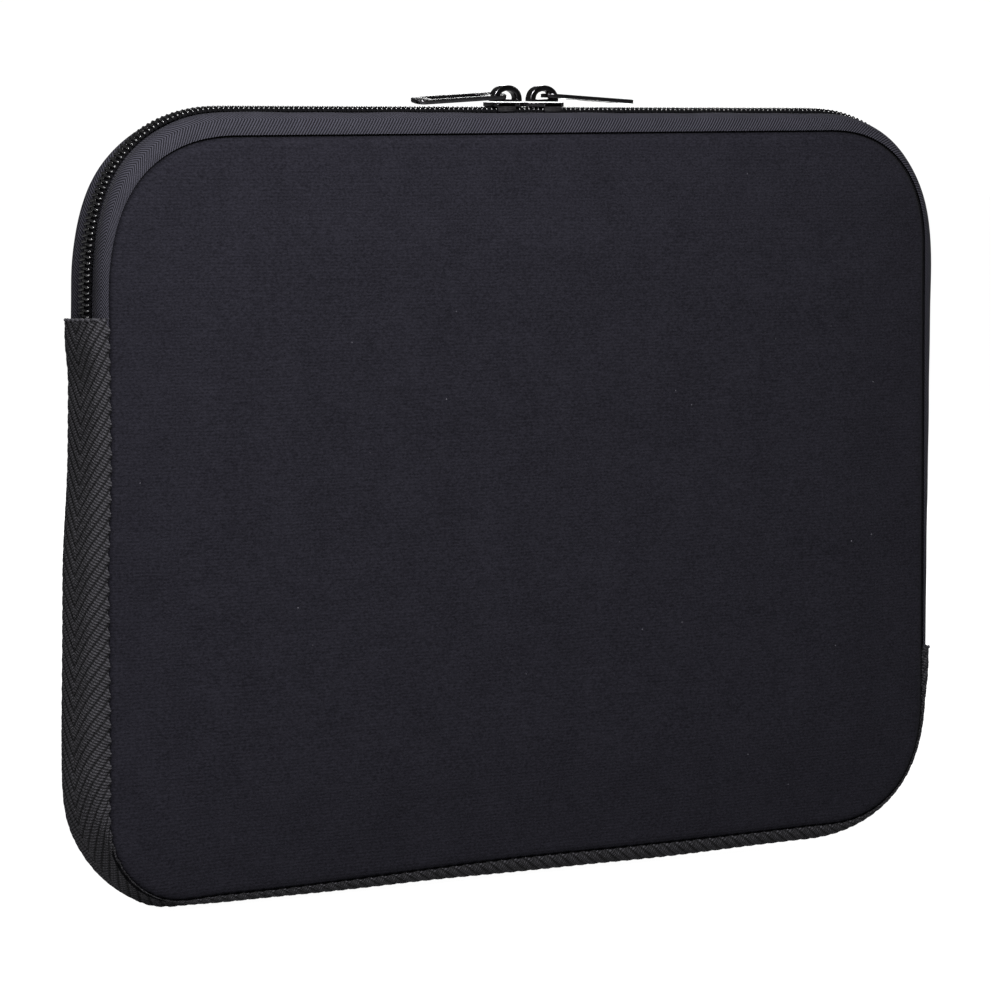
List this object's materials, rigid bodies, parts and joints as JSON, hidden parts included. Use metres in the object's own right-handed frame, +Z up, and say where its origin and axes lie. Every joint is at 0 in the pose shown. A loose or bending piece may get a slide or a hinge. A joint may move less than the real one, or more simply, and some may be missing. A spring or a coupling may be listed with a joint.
{
  "type": "laptop sleeve",
  "caption": "Padded zip-round laptop sleeve with a woven edge gusset, two sliders with flat slotted pulls, and a front that folds open.",
  "frame": {"origin": "on the surface that the sleeve stands on, below the middle of its width and depth", "axes": "+Z up, +X along the width, the front face looks along -Y and the zip runs over the top"},
  "size_m": [0.3876, 0.033, 0.2977],
  "materials": {
    "neoprene": "smooth matt knit bonded to neoprene foam, blue-black",
    "foam": "closed-cell foam padding, hidden between panel and lining",
    "lining": "short-pile brushed lining, black",
    "binding": "woven binding tape, black",
    "webbing": "coarse herringbone webbing, black",
    "zip_tape": "fine herringbone zip tape, blue-black",
    "zip_coil": "glossy black nylon coil",
    "black_nickel": "black nickel plating, glossy"
  },
  "bodies": {
    "shell": {"back_panel": "neoprene", "back_pad": "foam", "back_lining": "lining", "back_seam_binding": "binding", "front_panel_body": "neoprene", "front_pad_body": "foam", "front_lining_body": "lining", "front_seam_binding_body": "binding", "edge_webbing": "webbing", "zip_tape_back": "zip_tape", "zip_coil_back": "zip_coil"},
    "front_flap": {"front_panel_flap": "neoprene", "front_pad_flap": "foam", "front_lining_flap": "lining", "front_seam_binding_flap": "binding", "zip_tape_front": "zip_tape", "zip_coil_front": "zip_coil"},
    "left_slider": {"slider_left": "black_nickel", "slider_bridge_left": "black_nickel"},
    "right_slider": {"slider_right": "black_nickel", "slider_bridge_right": "black_nickel"},
    "left_pull": {"pull_left": "black_nickel"},
    "right_pull": {"pull_right": "black_nickel"}
  },
  "joints": [
    {"name": "mouth_hinge", "type": "hinge", "parent": "shell", "child": "front_flap", "pos_m": [0, -0.017, 0.142], "axis": [0.9339, 0, -0.3576], "range_deg": [0, 15], "deforming": ["zip_tape_front", "zip_coil_front"]},
    {"name": "left_slider_slide", "type": "slide", "parent": "shell", "child": "left_slider", "axis": [-1, 0, 0], "range_m": [0, 0.11]},
    {"name": "right_slider_slide", "type": "slide", "parent": "shell", "child": "right_slider", "axis": [1, 0, 0], "range_m": [0, 0.11]},
    {"name": "left_pull_hinge", "type": "hinge", "parent": "left_slider", "child": "left_pull", "pos_m": [-0.0106, 0, 0.29385], "axis": [0, 1, 0], "range_deg": [0, 100]},
    {"name": "right_pull_hinge", "type": "hinge", "parent": "right_slider", "child": "right_pull", "pos_m": [0.0092, 0, 0.29385], "axis": [0, -1, 0], "range_deg": [0, 100]}
  ],
  "couplings": [
    {"joint": "left_slider_slide", "follows": "mouth_hinge", "m_per_rad": 0.42},
    {"joint": "right_slider_slide", "follows": "mouth_hinge", "m_per_rad": 0.42}
  ]
}
